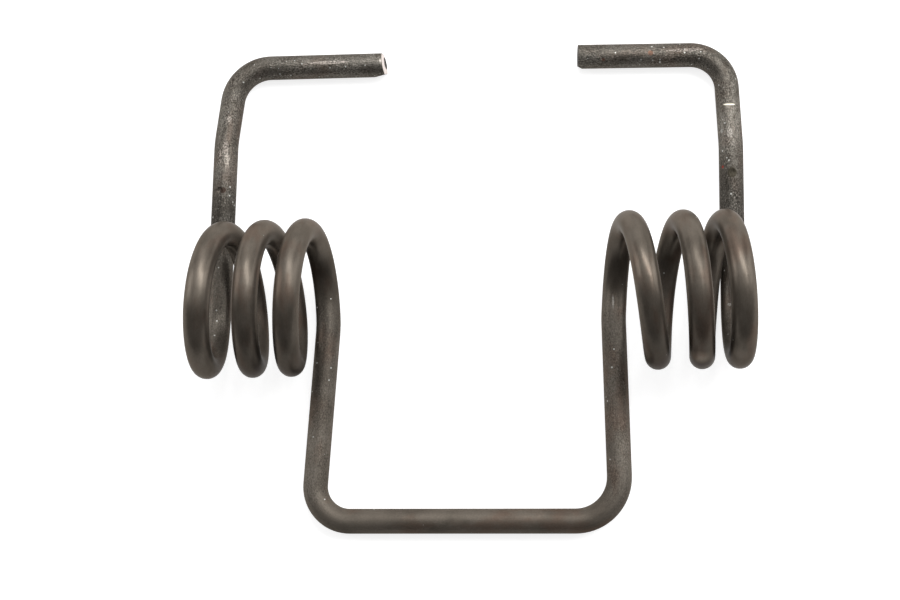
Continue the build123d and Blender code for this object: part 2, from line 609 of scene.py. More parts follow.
    def _cut_end(self, bm: Mesh, side: SideSizes, cut: CutSizes, material: int) -> None:
        """Cuts one end of the wire to length, with its slant and its small flat, and rounds the rim a little.

        Args:
            bm: The wire's mesh.
            side: The side that the end is on.
            cut: How the end is cut.
            material: Index of the cut face's material.
        """
        tip, shoulder = self.route.corners(side)[:2]
        out = (tip - shoulder).normalized()
        across, up = Vector((0, 1, 0)), Vector((0, 0, 1))
        reach = 2 * self.route.wire.cutting_allowance * MM
        middle = tip - out * (cut.setback * MM)
        normal = (out + across * tan(radians(cut.slant)) + up * tan(radians(cut.tilt))).normalized()
        self._slice(bm, self._patch(bm, tip, reach), middle, normal, clear=True)
        self._tag_open(bm, tip)
        self._cap(bm, material)
        flat_turn = radians(cut.flat_turn)
        below = -across * cos(flat_turn) - up * sin(flat_turn)
        flat_start = middle - out * (cut.flat_length * MM) + below * (self.route.wire.radius * MM)
        pitch = atan2(cut.flat_depth, cut.flat_length)
        flat_normal = out * sin(pitch) + below * cos(pitch)
        self._slice(bm, self._patch(bm, tip, reach), flat_start, flat_normal, clear=True)
        self._tag_open(bm, tip)
        self._cap(bm, SKIN)
        end_face = next(face for face in bm.faces if face.material_index == material)
        bmesh.ops.bevel(
            bm,
            geom=list(end_face.edges),
            offset=self.rim_round * MM,
            offset_type="OFFSET",
            segments=self.rim_steps,
            profile=0.5,
            affect="EDGES",
            material=-1,
            clamp_overlap=True,
        )
        log.info("%s end cut", side.hand.name.lower())

    def _tag_open(self, bm: Mesh, place: Vector) -> None:
        """Tags the open edges near a place and no others."""
        for edge in bm.edges:
            edge.tag = edge.is_boundary and (edge.verts[0].co - place).length < self.rim_reach * MM

    def _mark_frame(
        self, side: SideSizes, foot: int, reach: float, turn: float
    ) -> tuple[Vector, Vector, Vector]:
        """Finds where a mark lies on a straight run near the top of the wire.

        Args:
            side: The side that the run is on.
            foot: Index of the corner at the run's end towards the coil.
            reach: Distance from the coil axis along Y, in millimetres.
            turn: How far round the wire from its top, outwards, in degrees.

        Returns:
            The point on the wire's centre, the way out to the mark, and the run's direction.
        """
        corners = self.route.corners(side)
        low, high = corners[foot], corners[foot - 1]
        share = (reach * MM - low.y) / (high.y - low.y)
        out = Vector((side.hand.value * sin(radians(turn)), 0, cos(radians(turn))))
        return low.lerp(high, share), out, (high - low).normalized()

    def _press_dent(self, bm: Mesh, side: SideSizes, dent: DentSizes) -> None:
        """Presses a round dent into the top of one arm.

        Args:
            bm: The wire's mesh.
            side: The side that the arm is on.
            dent: The dent's sizes.
        """
        middle, out, along = self._mark_frame(side, ARM_FOOT, dent.reach, dent.turn)
        self._rows(bm, middle, along, dent.diameter * self.dent_patch, self.dent_rows)
        ball_radius = dent.ball_radius * MM
        ball = middle + out * (self.route.wire.radius * MM - dent.depth * MM + ball_radius)
        pressed = 0
        for vert in bm.verts:
            arm = vert.co - ball
            if arm.length < ball_radius:
                rise = arm.dot(out)
                aside = arm - out * rise
                vert.co = ball + aside - out * sqrt(ball_radius**2 - aside.length_squared)
                pressed += 1
        log.info("%s dent pressed: %d points", side.hand.name.lower(), pressed)

    def _press_nick(self, bm: Mesh, side: SideSizes, nick: NickSizes) -> None:
        """Presses a shallow nick across the top of one shoulder.

        Args:
            bm: The wire's mesh.
            side: The side that the shoulder is on.
            nick: The nick's sizes.
        """
        middle, out, along = self._mark_frame(side, SHOULDER_FOOT, nick.reach, nick.turn)
        self._rows(bm, middle, along, nick.width / 2, self.nick_rows)
        across = along.cross(out)
        crest = middle + out * (self.route.wire.radius * MM)
        pressed = 0
        for vert in bm.verts:
            arm = vert.co - crest
            share_along = abs(arm.dot(along)) / (nick.width / 2 * MM)
            share_across = abs(arm.dot(across)) / (nick.length / 2 * MM)
            if share_along < 1 and share_across < 1 and arm.dot(out) > -self.route.wire.radius * MM:
                vert.co -= out * (nick.depth * MM * (1 - share_along) * (1 - share_across**2))
                pressed += 1
        log.info("nick pressed: %d points", pressed)

    def _mark_scale(self, bm: Mesh) -> None:
        """Notes how thick the rough scale is.

        It is full on the arms, thinner on the coils' outer ends, the legs and the bail, and none between.

        Args:
            bm: The wire's mesh.
        """
        unbent = bm.verts.layers.float_vector[Layer.UNBENT.value]
        scale = bm.verts.layers.float.new(Layer.SCALE.value)
        (left_start, left_end), (right_start, right_end) = self.route.coil_spans(self.route.stretches())
        for vert in bm.verts:
            along = vert[unbent].x
            up_arm = max(left_start - along, along - right_end) / MM
            down_leg = min(along - left_end, right_start - along) / MM
            on_bar = self._faded(down_leg - self.route.left.leg_length)
            bail_scale = self.leg_scale * (1 - on_bar) + self.bar_scale * on_bar
            vert[scale] = max(
                self._faded(up_arm - self.scale_stop),
                self._faded(up_arm + self.scale_reach) * self.leg_scale,
                self._faded(down_leg) * bail_scale,
            )

    def _faded(self, past: float) -> float:
        """Share of scale that is reached at a distance past the middle of its fade, in millimetres."""
        return max(0.0, min(1.0, past / self.scale_fade + 0.5))


# Finishes


class Graph:
    """Short calls that add and join the nodes of one node tree."""

    def __init__(self, tree: bpy.types.NodeTree) -> None:
        """Keeps the node tree to work in."""
        self.tree = tree

    def node(self, kind: str, **settings: object) -> Node:
        """Adds a node and sets its properties.

        Args:
            kind: The node's type name.
            **settings: Properties of the node and their values.

        Returns:
            The new node.
        """
        new = self.tree.nodes.new(kind)
        for name, value in settings.items():
            setattr(new, name, value)
        return new

    def feed(self, socket: Socket, value: object) -> None:
        """Joins a socket to another one, or sets its value.

        Args:
            socket: The input to feed.
            value: An output socket, or a plain value.
        """
        if isinstance(value, Socket):
            self.tree.links.new(value, socket)
        elif isinstance(value, tuple) and len(value) == 3 and socket.type == "RGBA":
            socket.default_value = (*value, 1.0)
        else:
            socket.default_value = value

    def fill(self, node: Node, **values: object) -> Node:
        """Feeds some of a node's inputs.

        Args:
            node: The node.
            **values: What the inputs are fed with, with underscores for the spaces in their names.

        Returns:
            The same node.
        """
        for name, value in values.items():
            self.feed(node.inputs[name.replace("_", " ")], value)
        return node

    def math(self, operation: str, *values: object) -> Socket:
        """Adds a Math node.

        Args:
            operation: What the node works out.
            *values: What its inputs are fed with, in order.

        Returns:
            Its output.
        """
        new = self.node("ShaderNodeMath", operation=operation)
        for socket, value in zip(new.inputs, values):
            self.feed(socket, value)
        return new.outputs[0]

    def times(self, first: object, second: object) -> Socket:
        """The product of two values."""
        return self.math("MULTIPLY", first, second)

    def line(self, value: object, gain: object, base: object) -> Socket:
        """A value times a gain, added to a base."""
        return self.math("MULTIPLY_ADD", value, gain, base)

    def swing(self, value: object, depth: object) -> Socket:
        """How far a noise is from its middle, times a depth."""
        return self.times(self.math("SUBTRACT", value, 0.5), depth)

    def vector(self, operation: str, *values: object, scale: object = None) -> Socket:
        """Adds a Vector Math node.

        Args:
            operation: What the node works out.
            *values: What its vector inputs are fed with, in order.
            scale: What its scale is fed with, if it has one.

        Returns:
            Its first enabled output.
        """
        new = self.node("ShaderNodeVectorMath", operation=operation)
        for socket, value in zip(new.inputs, values):
            self.feed(socket, value)
        if scale is not None:
            self.fill(new, Scale=scale)
        return next(socket for socket in new.outputs if socket.enabled)

    def ramp(
        self, value: object, low: object, high: object, to_low: object = 0.0, to_high: object = 1.0
    ) -> Socket:
        """Adds a smooth Map Range, which holds its value at both ends.

        Args:
            value: The value to map.
            low: Where the first span begins.
            high: Where the first span ends.
            to_low: Where the second span begins.
            to_high: Where the second span ends.

        Returns:
            The mapped value.
        """
        new = self.node("ShaderNodeMapRange", interpolation_type="SMOOTHSTEP")
        self.fill(new, Value=value, From_Min=low, From_Max=high, To_Min=to_low, To_Max=to_high)
        return new.outputs["Result"]

    def blend(self, factor: object, first: object, second: object, way: str = "MIX") -> Socket:
        """Adds a colour Mix node.

        Args:
            factor: Share of the second colour.
            first: The first colour.
            second: The second colour.
            way: How the two are mixed.

        Returns:
            The mixed colour.
        """
        new = self.node("ShaderNodeMix", data_type="RGBA", blend_type=way, clamp_factor=True)
        by_name = {socket.identifier: socket for socket in new.inputs}
        for name, value in (("Factor_Float", factor), ("A_Color", first), ("B_Color", second)):
            self.feed(by_name[name], value)
        return next(socket for socket in new.outputs if socket.identifier == "Result_Color")

    def noise(self, vector: object, scale: object, detail: float, roughness: float) -> Socket:
        """A Noise Texture over a vector, and its value."""
        new = self.node("ShaderNodeTexNoise", noise_dimensions="3D")
        return self.fill(new, Vector=vector, Scale=scale, Detail=detail, Roughness=roughness).outputs["Fac"]

    def stretched(self, place: object, stretch: object, shift: object = 0.0) -> Socket:
        """Draws out what follows a place on the wire.

        Args:
            place: The place on the straight wire.
            stretch: What the distance along the wire is divided by.
            shift: What is then added to it.

        Returns:
            The changed place.
        """
        parts = self.fill(self.node("ShaderNodeSeparateXYZ"), Vector=place).outputs
        along = self.math("ADD", self.math("DIVIDE", parts["X"], stretch), shift)
        moved = self.node("ShaderNodeCombineXYZ")
        return self.fill(moved, X=along, Y=parts["Y"], Z=parts["Z"]).outputs[0]


class Effect:
    """A node group with named inputs and outputs that more than one finish uses.

    Attributes:
        name: The group's name.
        inputs: The value that each input starts with, or None for a place, which is always fed.
        outputs: The names of the outputs, which are all plain values.
    """

    name = "effect"
    inputs: dict[str, float | Point | None] = {}
    outputs: tuple[str, ...] = ()

    def __init__(self) -> None:
        """Makes the group, its sockets and its nodes."""
        self.group = bpy.data.node_groups.new(self.name, "ShaderNodeTree")
        for label, value in self.inputs.items():
            kind = FLOAT if isinstance(value, float) else VECTOR
            socket = self.group.interface.new_socket(label, in_out="INPUT", socket_type=kind)
            if value is not None:
                socket.default_value = value
        for label in self.outputs:
            self.group.interface.new_socket(label, in_out="OUTPUT", socket_type=FLOAT)
        graph = Graph(self.group)
        given = graph.node("NodeGroupInput")
        graph.fill(graph.node("NodeGroupOutput"), **self.shape(graph, given.outputs))

    def shape(self, graph: Graph, given: Outputs) -> dict[str, Socket]:
        """Adds the effect's own nodes.

        Args:
            graph: The group's graph.
            given: Outputs of the group's input node.

        Returns:
            The socket for each of the group's outputs.
        """
        raise NotImplementedError

    def place(self, graph: Graph, **values: object) -> Outputs:
        """Places the effect in a material.

        Args:
            graph: The material's graph.
            **values: What each of the group's inputs is fed with.

        Returns:
            The outputs of the placed group.
        """
        return graph.fill(graph.node("ShaderNodeGroup", node_tree=self.group), **values).outputs


class DrawLines(Effect):
    """Fine streaks along the wire, left by the drawing die."""

    name = "draw_lines"
    inputs = {"Place": None, "Fineness": 2.2, "Length": 14.0}
    outputs = ("Value",)

    def shape(self, graph: Graph, given: Outputs) -> dict[str, Socket]:
        """Adds noise that is drawn out along the wire, as Effect.shape says."""
        drawn = graph.stretched(given["Place"], graph.times(given["Length"], given["Fineness"]))
        return {"Value": graph.noise(drawn, given["Fineness"], detail=4.0, roughness=0.6)}


@dataclass(frozen=True)
class Clouds:
    """One layer of mottle: its size and stretch, the noise where it begins and is full, and its shift."""

    size: float
    stretch: float
    low: float
    high: float
    shift: float = 0.0


class Mottle(Effect):
    """Soft cloudy patches of heat scale, a little longer along the wire than across it."""

    name = "mottle"
    inputs = {"Place": None, "Size": 4.0, "Stretch": 2.0, "Low": 0.4, "High": 0.6, "Shift": 0.0}
    outputs = ("Value",)

    def shape(self, graph: Graph, given: Outputs) -> dict[str, Socket]:
        """Adds broad noise held between two levels, as Effect.shape says."""
        moved = graph.stretched(given["Place"], given["Stretch"], given["Shift"])
        scale = graph.math("DIVIDE", 1.0, given["Size"])
        value = graph.noise(moved, scale, detail=4.0, roughness=0.55)
        return {"Value": graph.ramp(value, given["Low"], given["High"])}

    def layer(self, graph: Graph, place: Socket, clouds: Clouds) -> Socket:
        """Places the effect as one layer of clouds, and gives its value."""
        settings = {name.title(): value for name, value in asdict(clouds).items()}
        return self.place(graph, Place=place, **settings)["Value"]


class Grain(Effect):
    """Fine granular texture of the scale: light tops and dark hollows."""

    name = "grain"
    inputs = {"Place": None, "Size": 0.35, "Stretch": 1.0}
    outputs = ("Value", "Tops")
    top_levels = (0.6, 0.72)

    def shape(self, graph: Graph, given: Outputs) -> dict[str, Socket]:
        """Adds fine noise and its highest tops, as Effect.shape says."""
        scale = graph.math("DIVIDE", 1.0, given["Size"])
        moved = graph.stretched(given["Place"], given["Stretch"])
        value = graph.noise(moved, scale, detail=3.0, roughness=0.7)
        return {"Value": value, "Tops": graph.ramp(value, *self.top_levels)}


class Specks(Effect):
    """Sparse bright specks of dust and bare metal."""

    name = "specks"
    inputs = {"Place": None, "Spacing": 1.2, "Share": 0.1, "Size": 0.16}
    outputs = ("Mask",)
    least_size = 0.4
    solid_part = 0.6

    def shape(self, graph: Graph, given: Outputs) -> dict[str, Socket]:
        """Adds small dots in a share of the cells, as Effect.shape says."""
        scale = graph.math("DIVIDE", 1.0, given["Spacing"])
        cells = graph.node("ShaderNodeTexVoronoi", voronoi_dimensions="3D", feature="F1")
        graph.fill(cells, Vector=given["Place"], Scale=scale)
        chance = graph.fill(graph.node("ShaderNodeSeparateColor"), Color=cells.outputs["Color"]).outputs
        chosen = graph.math("LESS_THAN", chance["Red"], given["Share"])
        size = graph.times(given["Size"], graph.math("ADD", self.least_size, chance["Green"]))
        away = graph.times(cells.outputs["Distance"], given["Spacing"])
        dot = graph.ramp(away, graph.times(size, self.solid_part), size, 1.0, 0.0)
        return {"Mask": graph.times(dot, chosen)}


class Spot(Effect):
    """A soft round mark about a point in the part's own frame."""

    name = "spot"
    inputs = {"Place": None, "Centre": (0.0, 0.0, 0.0), "Radius": 1.0, "Softness": 0.3}
    outputs = ("Mask",)

    def shape(self, graph: Graph, given: Outputs) -> dict[str, Socket]:
        """Adds a ball about the point with a soft edge, as Effect.shape says."""
        away = graph.vector("DISTANCE", given["Place"], given["Centre"])
        inner = graph.math("SUBTRACT", given["Radius"], given["Softness"])
        return {"Mask": graph.ramp(away, inner, given["Radius"], 1.0, 0.0)}

    def about(self, graph: Graph, place: Socket, centre: Point, radius: float, softness: float) -> Socket:
        """Places the effect about one point, and gives its mask."""
        return self.place(graph, Place=place, Centre=centre, Radius=radius, Softness=softness)["Mask"]


@dataclass(frozen=True)
class Effects:
    """The effects that the finishes share, each made once."""

    draw_lines: DrawLines
    mottle: Mottle
    grain: Grain
    specks: Specks
    spot: Spot

    @classmethod
    def make(cls) -> "Effects":
        """Makes every effect."""
        return cls(DrawLines(), Mottle(), Grain(), Specks(), Spot())


class Coat(Graph):
    """The graph of one new material, around its Principled shader."""

    def __init__(self, name: str, effects: Effects | None = None) -> None:
        """Makes the material.

        Args:
            name: The material's name.
            effects: The shared effects, for a finish that uses them.
        """
        self.material = bpy.data.materials.new(name)
        self.material.use_nodes = True
        super().__init__(self.material.node_tree)
        self.shader = self.tree.nodes["Principled BSDF"]
        self.effects = effects

    def where(self) -> Socket:
        """Place in the part's frame, in millimetres."""
        return self.vector("SCALE", self.node("ShaderNodeTexCoord").outputs["Object"], scale=1 / MM)

    def bump(self, height: Socket) -> None:
        """Raises the skin by a height in millimetres."""
        raised = self.fill(self.node("ShaderNodeBump"), Strength=1.0, Distance=MM, Height=height)
        self.fill(self.shader, Normal=raised.outputs["Normal"])


@dataclass(frozen=True)
class ToneAndLightZone:
    """A soft round stretch of the wire made paler or darker than the rest, in millimetres. Some are the
    wire's own tone; others are painted shade and painted highlights.

    Attributes:
        centre: Middle of the zone, in the part's frame.
        radius: How far the zone reaches.
        lift: Share added to the colour, which darkens it below zero.
        polish: How far the skin is rubbed smooth there.
    """

    centre: Point
    radius: float
    lift: float
    polish: float = 0.0


@dataclass(frozen=True)
class Mark:
    """A small mark on the skin, in millimetres: a scratch, a scuff or a rust spot, painted shade at the
    bottom of a dent, or a painted glint or highlight streak.

    Attributes:
        centre: Middle of the mark, in the part's frame.
        radius: How far the mark reaches along X.
        squash: How many times narrower it is along Y.
        colour: Its colour.
        share: How far the colour covers the scale.
        broken: How far the grain breaks it up.
    """

    centre: Point
    radius: float
    squash: float
    colour: Colour
    share: float
    broken: float = 0.0


@dataclass(frozen=True)
class OxideAndPaintedLightFinish:
    """Heat scale on spring steel: satin on the coils, and rough, dusty and duller on the arms and hooks.
    Painted shade and painted highlights are added in places.

    Sizes are in millimetres. A pair whose name ends in line is a gain and a base. A pair whose name ends in
    span is the value on bare skin and the value on full scale.
    """

    name: str = "oxide_scale_and_painted_light"
    mid: Colour = (0.120, 0.103, 0.085)
    dark: Colour = (0.054, 0.045, 0.036)
    pale: Colour = (0.290, 0.267, 0.237)
    rust: Colour = (0.098, 0.060, 0.043)
    ash: Colour = (0.120, 0.1105, 0.096)
    dust: Colour = (0.500, 0.500, 0.470)
    tint: Colour = (0.38, 0.34, 0.30)
    ior: float = 1.25
    strength: float = 1.02
    metallic: float = 0.58
    pit_depth: float = 0.55
    roughness_span: Pair = (0.365, 0.42)
    unevenness_line: Pair = (0.2, 0.05)
    clouds: Clouds = Clouds(4.5, 1.8, 0.34, 0.62)
    cloud_line: Pair = (0.5, 0.5)
    bloom: Clouds = Clouds(5.0, 2.0, 0.48, 0.70, 31.0)
    bloom_span: Pair = (0.45, 0.28)
    crust: Clouds = Clouds(1.6, 1.5, 0.50, 0.72, 77.0)
    crust_share: float = 0.6
    patch: Clouds = Clouds(3.0, 2.2, 0.42, 0.60, 12.0)
    patch_line: Pair = (0.55, 0.5)
    grain_size: float = 0.30
    grain_stretch: float = 1.6
    grain_line: Pair = (6.3, 0.4)
    grain_height_line: Pair = (0.13, 0.002)
    streak_span: Pair = (0.22, 0.8)
    streak_height_line: Pair = (0.007, 0.001)
    top_share: float = 0.8
    flake_levels: Pair = (0.44, 0.58)
    dust_spacing: float = 1.0
    dust_size: float = 0.21
    dust_span: Pair = (0.008, 0.12)
    zones: tuple[ToneAndLightZone, ...] = (
        # Shoulders: painted highlight on their broad bright bands; the left band is also worn pale.
        ToneAndLightZone((-60.9, 43.5, -14.0), 10.0, 0.06, 0.05),
        ToneAndLightZone((64.7, 45.0, -14.0), 11.0, 0.36, -0.05),
        # Painted shade on the arms next to the coils, where the coils block the light.
        ToneAndLightZone((-62.0, 22.0, -14.0), 17.0, -0.6),
        ToneAndLightZone((64.0, 24.0, -14.0), 19.0, -0.55),
        # Painted shade on the coils' lower fronts and the low backs of their inner turns.
        ToneAndLightZone((-45.0, -19.0, 1.0), 27.0, -0.62),
        ToneAndLightZone((46.5, -19.0, 2.0), 27.0, -0.64),
        # Paler on the upper backs of the inner turns.
        ToneAndLightZone((-40.5, 13.0, 9.0), 9.0, 0.18),
        ToneAndLightZone((52.0, 14.0, 9.0), 9.0, 0.10),
        ToneAndLightZone((39.5, 14.0, 9.0), 8.0, 0.08),
        ToneAndLightZone((-34.5, -30.0, -14.0), 28.0, 0.4, -0.12),
        ToneAndLightZone((36.5, -30.0, -14.0), 28.0, 0.28, -0.12),
        ToneAndLightZone((0.0, -52.5, -14.0), 62.0, 0.0, -0.24),
        # Bail corners: rougher, with a touch of painted shade that dims their sheen.
        ToneAndLightZone((-29.5, -49.5, -14.0), 15.0, -0.03, -0.14),
        ToneAndLightZone((30.5, -49.5, -14.0), 15.0, -0.03, -0.14),
        # Painted shade on the legs where they run under the coils.
        ToneAndLightZone((-35.4, 9.0, -11.5), 13.0, -0.4, -0.05),
        ToneAndLightZone((-34.3, -0.5, -12.2), 9.0, -0.22, -0.12),
        ToneAndLightZone((34.9, 10.0, -11.5), 13.0, -0.45),
        # Painted shade on the back strands inside the coils, under the front strands.
        ToneAndLightZone((-62.4, 1.0, -13.4), 7.0, -0.15),
        ToneAndLightZone((-51.7, 1.4, -13.5), 9.0, -0.55, -0.15),
        ToneAndLightZone((-40.9, -1.0, -13.6), 8.0, -0.4, -0.15),
        ToneAndLightZone((47.7, -0.9, -12.8), 9.0, -0.5, -0.15),
        ToneAndLightZone((46.6, 8.6, -10.0), 7.0, -0.2, -0.12),
        ToneAndLightZone((53.4, -17.2, 6.8), 3.4, 0.9),
        ToneAndLightZone((62.2, -16.2, 7.6), 3.2, 0.35),
        # Painted highlight: each turn's front highlight made brighter or dimmer, with a little more or less
        # polish.
        ToneAndLightZone((-60.9, 0.7, 18.0), 9.0, 0.24),
        ToneAndLightZone((-39.6, 3.3, 17.7), 8.0, -0.06, -0.04),
        ToneAndLightZone((41.5, 2.5, 17.8), 8.0, 0.20, 0.07),
        ToneAndLightZone((53.3, 2.2, 17.9), 6.0, -0.08, -0.04),
        ToneAndLightZone((63.4, 0.8, 18.0), 7.0, 0.18, 0.03),
    )
    marks: tuple[Mark, ...] = (
        # Painted shade in the bottoms of the two dents, dark rust brown.
        Mark((-61.3, 30.2, -13.6), 0.95, 1.0, (0.030, 0.018, 0.013), 0.8),
        Mark((64.7, 31.3, -13.5), 1.3, 0.9, (0.030, 0.026, 0.018), 0.8),
        Mark((64.65, 48.6, -13.6), 1.6, 6.0, (0.85, 0.80, 0.66), 1.0),
        # A painted glint on the wire just before the left cut.
        Mark((-21.8, 62.6, -13.5), 0.30, 0.4, (0.66, 0.60, 0.55), 1.0),
        # Painted glints, broken up by the grain, on the worn left shoulder and arm.
        Mark((-60.0, 48.5, -13.5), 0.80, 0.9, (0.50, 0.45, 0.40), 0.7, 0.9),
        Mark((-60.8, 41.0, -13.6), 0.90, 0.35, (0.42, 0.37, 0.33), 0.45, 0.9),
        Mark((-60.4, 37.8, -13.6), 0.80, 0.4, (0.45, 0.40, 0.35), 0.5, 0.9),
        Mark((-62.2, 38.8, -13.7), 0.80, 0.35, (0.38, 0.33, 0.29), 0.5, 0.9),
        # Painted highlight streaks along the tops of the hooks.
        Mark((-34.9, 62.5, -13.5), 5.0, 11.0, (0.46, 0.41, 0.37), 0.6, 0.85),
        Mark((54.0, 62.9, -13.5), 4.5, 11.0, (0.44, 0.39, 0.35), 0.55, 0.85),
        Mark((45.8, 62.4, -13.5), 0.80, 1.0, (0.16, 0.06, 0.03), 0.7, 0.6),
        Mark((34.1, 61.2, -14.0), 0.60, 1.0, (0.14, 0.05, 0.03), 0.6, 0.5),
        Mark((34.7, -0.5, -12.0), 0.36, 0.16, (0.44, 0.42, 0.39), 0.8, 0.5),
        Mark((-34.9, -4.5, -12.3), 0.36, 0.22, (0.42, 0.38, 0.28), 0.7, 0.6),
        Mark((62.8, -1.5, -13.7), 0.75, 1.6, (0.50, 0.48, 0.45), 0.7, 0.7),
        Mark((62.4, 33.0, -14.4), 0.55, 1.0, (0.25, 0.03, 0.02), 0.9, 0.2),
        Mark((64.5, 41.4, -13.6), 0.90, 0.5, (0.45, 0.42, 0.38), 0.6, 0.7),
        Mark((62.7, 42.1, -14.5), 0.60, 0.8, (0.45, 0.44, 0.41), 0.6, 0.5),
    )
    flecks: tuple[Point, ...] = (
        (-59.6, 31.1, -14.1),
        (-59.7, 28.9, -14.1),
        (-59.0, 27.4, -14.9),
        (-58.8, 26.7, -15.5),
        (-63.9, 23.5, -14.4),
        (-62.5, -0.2, -13.5),
        (-62.3, -2.9, -13.1),
        (-62.5, -6.7, -11.5),
        (-47.3, 60.2, -14.5),
        (-25.6, 61.5, -13.6),
        (46.3, 60.7, -14.2),
        (48.1, 60.8, -14.1),
        (43.4, 60.9, -14.1),
        (64.0, 34.4, -13.6),
        (64.2, 25.9, -13.5),
        (34.6, -12.0, -12.2),
        (47.1, 6.1, -11.1),
    )
    fleck_radius: float = 0.32
    mark_softness: float = 0.35

    def make(self, effects: Effects) -> Material:
        """Makes the material.

        Args:
            effects: The shared effects.

        Returns:
            The finished material.
        """
        coat = Coat(self.name, effects)
        unbent = coat.node("ShaderNodeAttribute", attribute_name=Layer.UNBENT.value)
        place = coat.vector("SCALE", unbent.outputs["Vector"], scale=1 / MM)
        scale = coat.node("ShaderNodeAttribute", attribute_name=Layer.SCALE.value).outputs["Fac"]
        where = coat.where()
        lines = effects.draw_lines.place(coat, Place=place)["Value"]
        grain = effects.grain.place(coat, Place=place, Size=self.grain_size, Stretch=self.grain_stretch)
        # Tone, painted shade and painted highlights from each zone, and its polish.
        lift, polish = self._zone_sums(coat, where)

        patch = coat.line(effects.mottle.layer(coat, place, self.patch), *self.patch_line)
        rough_share = coat.times(scale, patch)
        tone = coat.swing(grain["Value"], coat.line(rough_share, *self.grain_line))
        streak = coat.swing(lines, coat.ramp(scale, 0.0, 1.0, *self.streak_span))
        tone = coat.math("MAXIMUM", coat.math("ADD", tone, streak), -self.pit_depth)
        tone = coat.vector("SCALE", WHITE, scale=coat.line(tone, lift, lift))
        colour = coat.blend(1.0, self._colour(coat, place, scale), tone, "MULTIPLY")
        tops = coat.times(grain["Tops"], coat.times(rough_share, self.top_share))
        colour = coat.blend(tops, colour, self.pale)
        flakes = coat.ramp(grain["Value"], *self.flake_levels)
        # Dust, flecks, scratches and rust, with painted shade in the dents and painted glints and highlight
        # streaks.
        colour = self._marked(coat, place, where, scale, flakes, colour)

        unevenness = coat.swing(lines, coat.line(scale, *self.unevenness_line))
        rough = coat.math("ADD", coat.ramp(scale, 0.0, 1.0, *self.roughness_span), unevenness)
        grain_height = coat.times(grain["Value"], coat.line(rough_share, *self.grain_height_line))
        streak_height = coat.times(lines, coat.line(scale, *self.streak_height_line))
        coat.bump(coat.math("ADD", grain_height, streak_height))
        coat.fill(
            coat.shader,
            Base_Color=colour,
            Metallic=self.metallic,
            IOR=self.ior,
            Specular_Tint=self.tint,
            Roughness=coat.math("SUBTRACT", rough, polish),
        )
        log.info("finish made: %s", self.name)
        return coat.material

    def _zone_sums(self, coat: Coat, where: Socket) -> tuple[Socket, Socket]:
        """Adds up what the tone zones do, painted shade and painted highlights among them.

        Args:
            coat: The material's graph.
            where: Place in the part's frame, in millimetres.

        Returns:
            The colour's strength with its tone, painted shade and painted highlights, and how much smoother
            the skin is.
        """
        lift, polish = self.strength, 0.0
        for zone in self.zones:
            mask = coat.effects.spot.about(coat, where, zone.centre, zone.radius, zone.radius)
            lift = coat.line(mask, zone.lift, lift)
            polish = coat.line(mask, zone.polish, polish)
        return lift, polish

    def _marked(
        self, coat: Coat, place: Socket, where: Socket, scale: Socket, flakes: Socket, colour: Socket
    ) -> Socket:
        """Lays dust, flecks, scratches and rust over the scale, with painted shade in the dents and painted
        glints and highlight streaks.

        Args:
            coat: The material's graph.
            place: Place on the straight wire, in millimetres.
            where: Place in the part's frame, in millimetres.
            scale: How thick the rough scale is.
            flakes: One on the tops of the grain and zero in its hollows.
            colour: The scale's colour.

        Returns:
            The colour with its dust, flecks, scratches, rust, painted shade and painted highlights.
        """
        spot = coat.effects.spot
        share = coat.ramp(scale, 0.0, 1.0, *self.dust_span)
        dust = coat.effects.specks.place(
            coat, Place=place, Spacing=self.dust_spacing, Share=share, Size=self.dust_size
        )["Mask"]
        for centre in self.flecks:
            fleck = spot.about(coat, where, centre, self.fleck_radius, self.fleck_radius)
            dust = coat.math("MAXIMUM", dust, fleck)
        colour = coat.blend(dust, colour, self.dust)
        for mark in self.marks:
            x, y, z = mark.centre
            spread = coat.vector("MULTIPLY", where, (1.0, mark.squash, 1.0))
            mask = spot.about(coat, spread, (x, y * mark.squash, z), mark.radius, self.mark_softness)
            kept = coat.line(flakes, mark.share * mark.broken, mark.share * (1 - mark.broken))
            colour = coat.blend(coat.times(mask, kept), colour, mark.colour)
        return colour

    def _colour(self, coat: Coat, place: Socket, scale: Socket) -> Socket:
        """Makes cloudy scale with rust in places.

        Args:
            coat: The material's graph.
            place: Place on the straight wire, in millimetres.
            scale: How thick the rough scale is.

        Returns:
            The colour before its grain and dust.
        """
        mottle = coat.effects.mottle
        clouds = coat.line(mottle.layer(coat, place, self.clouds), *self.cloud_line)
        colour = coat.blend(clouds, self.dark, coat.blend(scale, self.mid, self.ash))
        bloom_share = coat.ramp(scale, 0.0, 1.0, *self.bloom_span)
        bloom = coat.times(mottle.layer(coat, place, self.bloom), bloom_share)
        colour = coat.blend(bloom, colour, self.rust)
        crust = coat.times(mottle.layer(coat, place, self.crust), coat.times(scale, self.crust_share))
        return coat.blend(crust, colour, self.dark)


